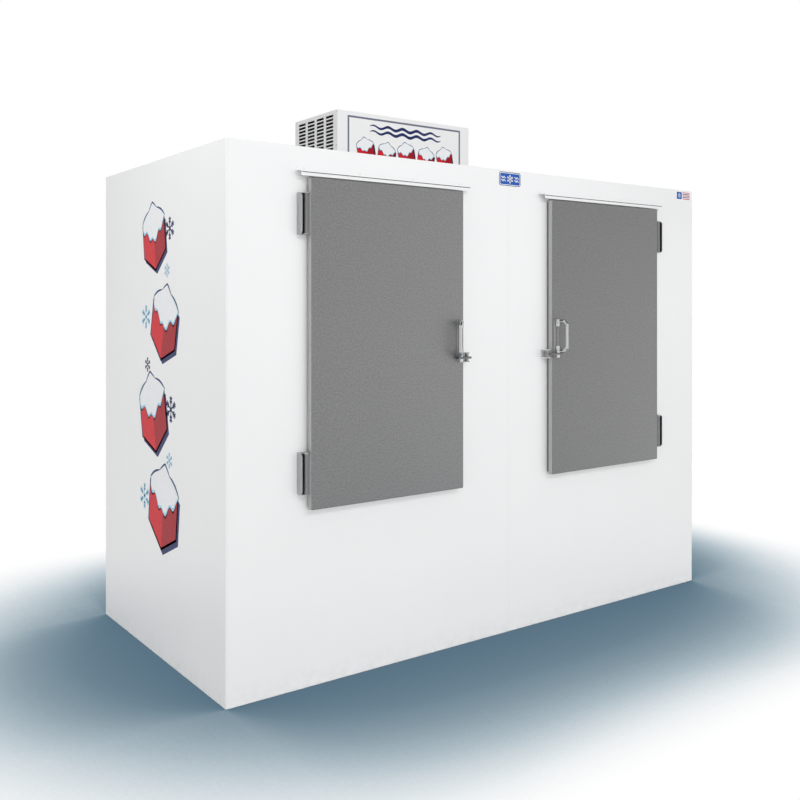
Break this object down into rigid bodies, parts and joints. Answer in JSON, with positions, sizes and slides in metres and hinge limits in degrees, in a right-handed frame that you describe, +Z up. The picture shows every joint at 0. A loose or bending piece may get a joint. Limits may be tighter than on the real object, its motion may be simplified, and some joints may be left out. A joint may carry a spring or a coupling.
{
  "type": "ice merchandiser freezer",
  "caption": "Wide insulated ice merchandiser: flat-sided cabinet, hinged doors with latches and drip rails in front, louvred condensing unit on the roof.",
  "frame": {"origin": "centre of the cabinet's footprint, on the ground", "axes": "+X to the right as seen from the front, +Y to the back, +Z up; the doors face -Y"},
  "size_m": [2.388, 1.2297, 2.133],
  "materials": {
    "white_sheet": "smooth satin enamel on sheet steel",
    "door_sheet": "fine stucco-embossed sheet, satin",
    "galvanised": "galvanised sheet, faint spangle",
    "hinge_steel": "satin zinc plate",
    "latch_chrome": "polished chrome plate, lightly worn",
    "pin_steel": "turned bright steel",
    "sleeve_steel": "dull zinc, darkened by grease",
    "black_nylon": "moulded nylon, matte",
    "gasket": "soft extruded gasket, matte",
    "breaker": "extruded plastic, matte",
    "foam": "foamed in place, matte",
    "liner": "white liner sheet, low gloss",
    "rack": "mill finish",
    "white_tube": "extruded tube",
    "black_enamel": "black enamel, satin",
    "mount_rubber": "moulded rubber, matte",
    "fins": "pressed fins on tube",
    "motor_grey": "grey enamel",
    "fan_grey": "moulded blades, matte",
    "copper": "drawn copper tube, slightly tarnished",
    "box_grey": "grey powder coat"
  },
  "bodies": {
    "cabinet": {"base_pan": "galvanised", "left_side_panel": "white_sheet", "right_side_panel": "white_sheet", "back_panel": "white_sheet", "roof_panel": "white_sheet", "front_sheet_left": "white_sheet", "front_sheet_right": "white_sheet", "insulation_boards": "foam", "insulation_front": "foam", "inner_liner": "liner", "opening_frames": "breaker", "drip_rails": "white_sheet", "cabinet_screws": "pin_steel", "floor_racks": "rack", "drain_tube": "white_tube", "hinge_brackets": "hinge_steel", "hinge_pins": "pin_steel", "door_strikes": "latch_chrome", "unit_base_pan": "galvanised", "unit_hood": "white_sheet", "unit_front_panel": "white_sheet", "compressor": "black_enamel", "compressor_mounts": "mount_rubber", "condenser_coil": "fins", "fan_shroud": "galvanised", "condenser_fan_motor": "motor_grey", "receiver": "black_enamel", "filter_drier": "copper", "refrigerant_lines": "copper", "control_box": "box_grey", "cord_gland": "black_nylon", "evaporator_housing": "rack", "evaporator_coil": "fins", "evaporator_motors": "motor_grey"},
    "left_door": {"door_pan_left": "door_sheet", "door_core_left": "foam", "door_liner_left": "liner", "door_gasket_left": "gasket", "hinge_leaves_left": "hinge_steel", "hinge_barrels_left": "sleeve_steel", "latch_base_left": "hinge_steel", "latch_pin_left": "pin_steel"},
    "left_lever": {"latch_lever_left": "latch_chrome"},
    "left_bolt": {"latch_bolt_left": "pin_steel"},
    "left_roller": {"strike_roller_left": "latch_chrome"},
    "right_door": {"door_pan_right": "door_sheet", "door_core_right": "foam", "door_liner_right": "liner", "door_gasket_right": "gasket", "hinge_leaves_right": "hinge_steel", "hinge_barrels_right": "sleeve_steel", "latch_base_right": "hinge_steel", "latch_pin_right": "pin_steel"},
    "right_lever": {"latch_lever_right": "latch_chrome"},
    "right_bolt": {"latch_bolt_right": "pin_steel"},
    "right_roller": {"strike_roller_right": "latch_chrome"},
    "condenser_fan": {"condenser_fan": "fan_grey"},
    "evaporator_fan_left": {"evaporator_fan_left": "fan_grey"},
    "evaporator_fan_right": {"evaporator_fan_right": "fan_grey"},
    "control_knob": {"control_knob": "black_nylon"}
  },
  "joints": [
    {"name": "left_door_hinge", "type": "hinge", "parent": "cabinet", "child": "left_door", "pos_m": [-0.914, -0.601, 1.165], "axis": [0, 0, -1], "range_deg": [0, 110]},
    {"name": "left_lever_turn", "type": "hinge", "parent": "left_door", "child": "left_lever", "pos_m": [-0.256, -0.621, 1.159], "axis": [0, 0, 1], "range_deg": [0, 25], "stiffness_Nm_per_rad": 1, "springref_deg": -11.46},
    {"name": "left_bolt_slide", "type": "slide", "parent": "left_door", "child": "left_bolt", "axis": [-1, 0, 0], "range_m": [0, 0.0141]},
    {"name": "left_roller_spin", "type": "hinge", "parent": "cabinet", "child": "left_roller", "pos_m": [-0.2155, -0.605, 1.097], "axis": [0, 0, 1], "continuous": true},
    {"name": "right_door_hinge", "type": "hinge", "parent": "cabinet", "child": "right_door", "pos_m": [0.914, -0.601, 1.165], "axis": [0, 0, 1], "range_deg": [0, 110]},
    {"name": "right_lever_turn", "type": "hinge", "parent": "right_door", "child": "right_lever", "pos_m": [0.256, -0.621, 1.159], "axis": [0, 0, -1], "range_deg": [0, 25], "stiffness_Nm_per_rad": 1, "springref_deg": -11.46},
    {"name": "right_bolt_slide", "type": "slide", "parent": "right_door", "child": "right_bolt", "axis": [1, 0, 0], "range_m": [0, 0.0141]},
    {"name": "right_roller_spin", "type": "hinge", "parent": "cabinet", "child": "right_roller", "pos_m": [0.2155, -0.605, 1.097], "axis": [0, 0, 1], "continuous": true},
    {"name": "condenser_fan_spin", "type": "hinge", "parent": "cabinet", "child": "condenser_fan", "pos_m": [-0.2693, 0.251, 1.95775], "axis": [1, 0, 0], "continuous": true},
    {"name": "evaporator_fan_left_spin", "type": "hinge", "parent": "cabinet", "child": "evaporator_fan_left", "pos_m": [-0.23, 0.211, 1.665], "axis": [0, 1, 0], "continuous": true},
    {"name": "evaporator_fan_right_spin", "type": "hinge", "parent": "cabinet", "child": "evaporator_fan_right", "pos_m": [0.15, 0.211, 1.665], "axis": [0, 1, 0], "continuous": true},
    {"name": "control_knob_turn", "type": "hinge", "parent": "cabinet", "child": "control_knob", "pos_m": [-0.075, 0.109, 1.9255], "axis": [0, -1, 0], "range_deg": [-270, 0]}
  ],
  "couplings": [
    {"joint": "left_bolt_slide", "follows": "left_lever_turn", "m_per_rad": 0.032086},
    {"joint": "right_bolt_slide", "follows": "right_lever_turn", "m_per_rad": 0.032086}
  ]
}
